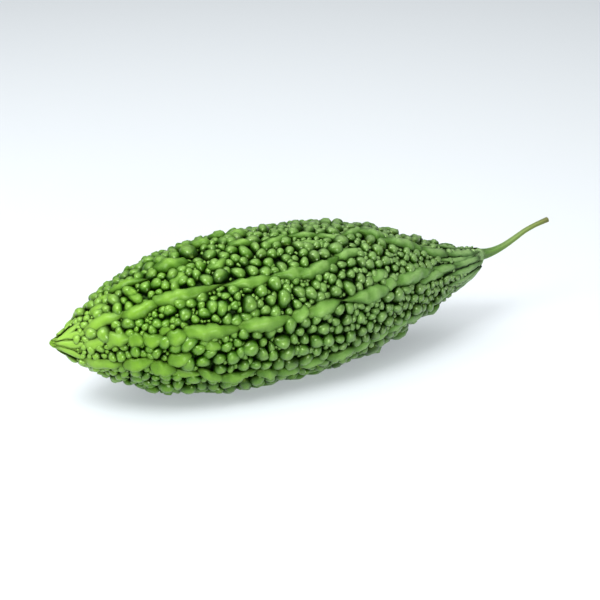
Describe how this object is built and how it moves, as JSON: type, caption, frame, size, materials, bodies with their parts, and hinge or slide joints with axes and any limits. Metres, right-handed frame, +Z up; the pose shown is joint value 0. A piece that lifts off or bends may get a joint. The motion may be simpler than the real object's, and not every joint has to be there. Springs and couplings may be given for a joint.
{
  "type": "bitter gourd",
  "caption": "Whole fresh bitter gourd with its stalk, lying on its side: spindle-shaped green fruit with lengthwise ridges and rounded warts.",
  "frame": {"origin": "middle of the flat spot that the fruit rests on, under its weight", "axes": "+Z up, +X along the fruit from its pointed tip to its stalk"},
  "size_m": [0.2231, 0.0627, 0.0607],
  "materials": {
    "fruit_skin": "satin",
    "stalk_skin": "matte"
  },
  "bodies": {
    "root": {"fruit": "fruit_skin", "stalk": "stalk_skin"}
  },
  "joints": []
}
